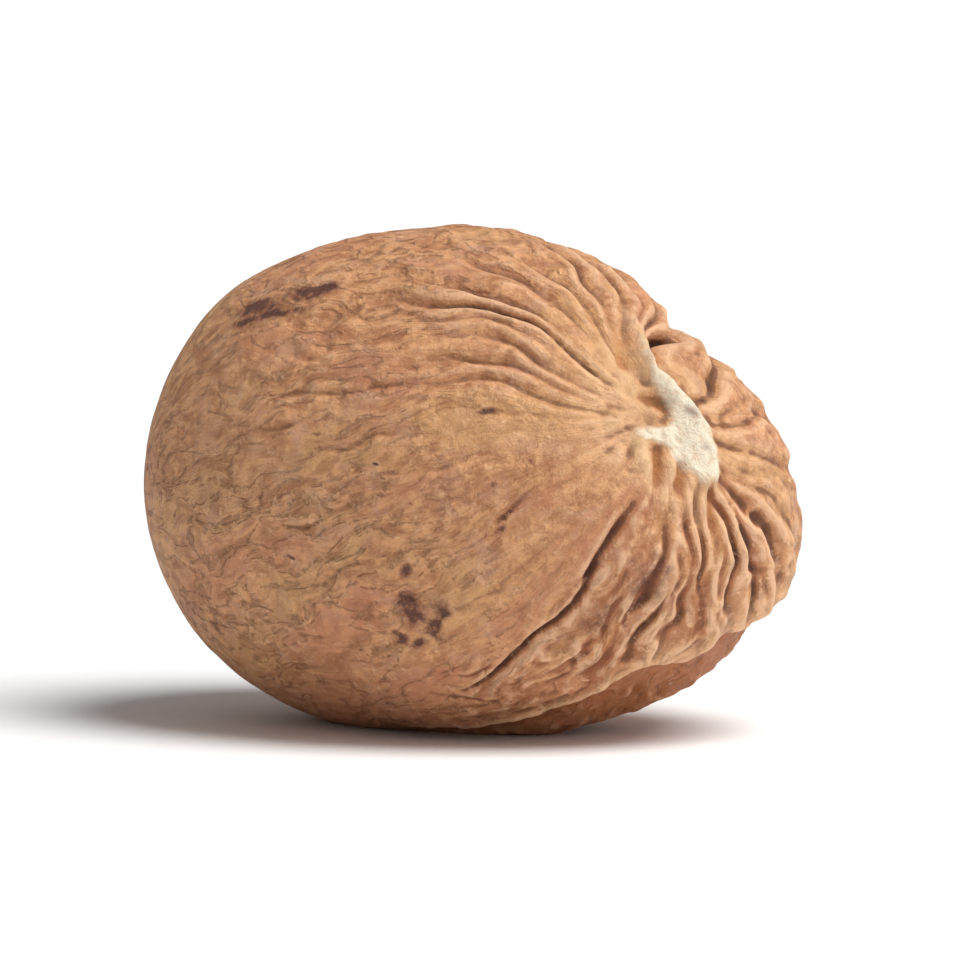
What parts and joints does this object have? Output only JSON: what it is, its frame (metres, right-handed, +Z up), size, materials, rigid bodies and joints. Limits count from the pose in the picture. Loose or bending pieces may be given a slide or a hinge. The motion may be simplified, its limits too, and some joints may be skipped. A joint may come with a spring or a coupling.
{
  "type": "whole nutmeg",
  "caption": "Whole dried nutmeg kernel, egg shaped, with deep wrinkles running from a pale raised scar at one end, lying on a small flat.",
  "frame": {"origin": "middle of the footprint box on the surface that the kernel lies on", "axes": "+Z up; +X along the kernel's long axis, towards the end with the pale scar; +Y to its left"},
  "size_m": [0.027, 0.0204, 0.0198],
  "materials": {
    "kernel": "dry matt brown seed skin with a faint waxy sheen, cream at the scar"
  },
  "bodies": {
    "root": {"nutmeg": "kernel"}
  },
  "joints": []
}
